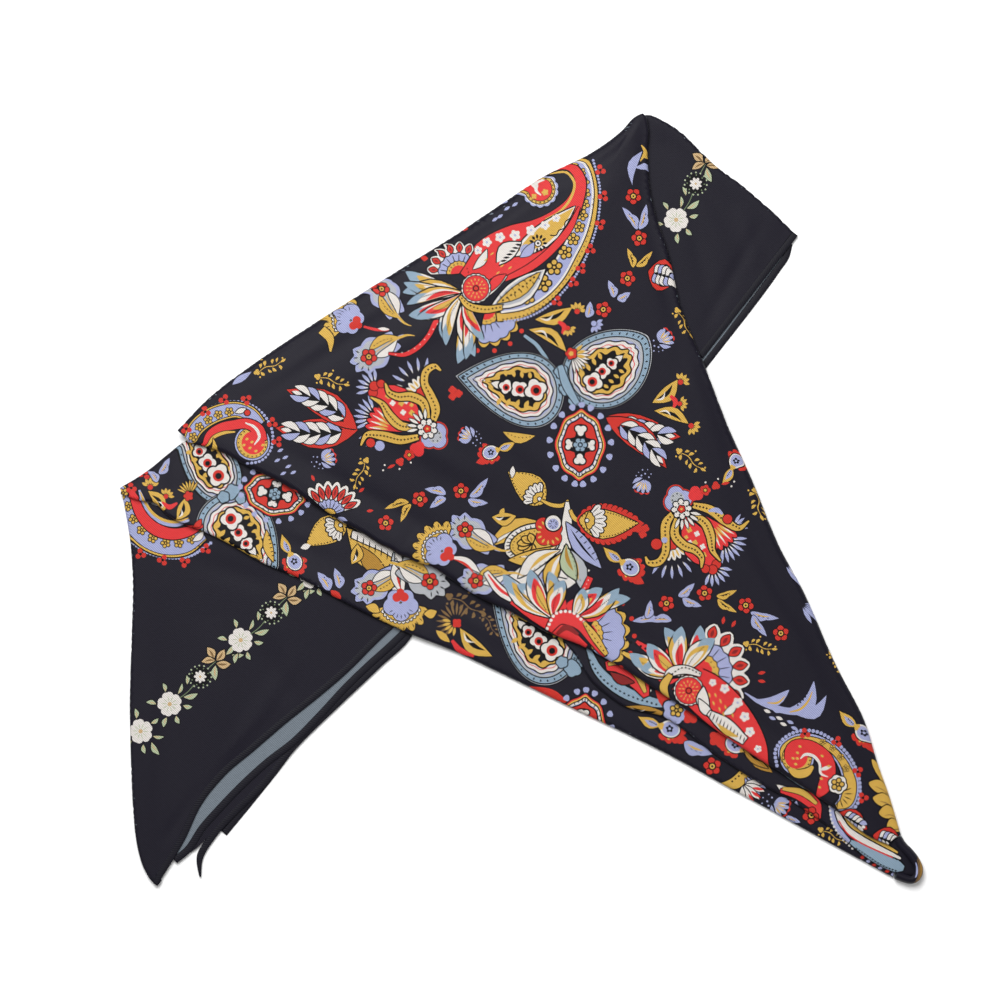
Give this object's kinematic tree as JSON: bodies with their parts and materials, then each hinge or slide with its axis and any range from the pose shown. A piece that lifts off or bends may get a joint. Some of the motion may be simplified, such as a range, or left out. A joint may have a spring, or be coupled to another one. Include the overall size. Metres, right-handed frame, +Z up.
{
  "type": "silk scarf, folded",
  "caption": "Square printed silk scarf folded corner to corner, gathered into soft pleats and laid flat with two corners fanned out.",
  "frame": {"origin": "on the table under the middle of the folded scarf's outline", "axes": "+Z up from the table, +X towards the pointed end where the pleats gather, +Y towards the peak of the long fold"},
  "size_m": [0.5536, 0.5322, 0.0144],
  "materials": {
    "main_panel": "printed silk twill, soft sheen",
    "hidden_layers": "printed silk twill, soft sheen",
    "lower_pleat": "printed silk twill, soft sheen",
    "middle_pleat": "printed silk twill, soft sheen",
    "tip_roll": "printed silk twill, soft sheen",
    "corner_top": "printed silk twill, soft sheen",
    "hem_corner_top": "stitched narrow silk hem",
    "corner_middle": "pale reverse of the silk twill",
    "hem_corner_middle": "stitched narrow silk hem",
    "corner_bottom": "printed silk twill, soft sheen",
    "hem_corner_bottom": "stitched narrow silk hem",
    "flap_top": "printed silk twill, soft sheen",
    "hem_flap_top": "stitched narrow silk hem",
    "flap_under": "pale reverse of the silk twill",
    "hem_flap_under": "stitched narrow silk hem"
  },
  "bodies": {
    "root": {"main_panel": "main_panel", "hidden_layers": "hidden_layers", "lower_pleat": "lower_pleat", "middle_pleat": "middle_pleat", "tip_roll": "tip_roll", "corner_top": "corner_top", "hem_corner_top": "hem_corner_top", "corner_middle": "corner_middle", "hem_corner_middle": "hem_corner_middle", "corner_bottom": "corner_bottom", "hem_corner_bottom": "hem_corner_bottom", "flap_top": "flap_top", "hem_flap_top": "hem_flap_top", "flap_under": "flap_under", "hem_flap_under": "hem_flap_under"}
  },
  "joints": []
}
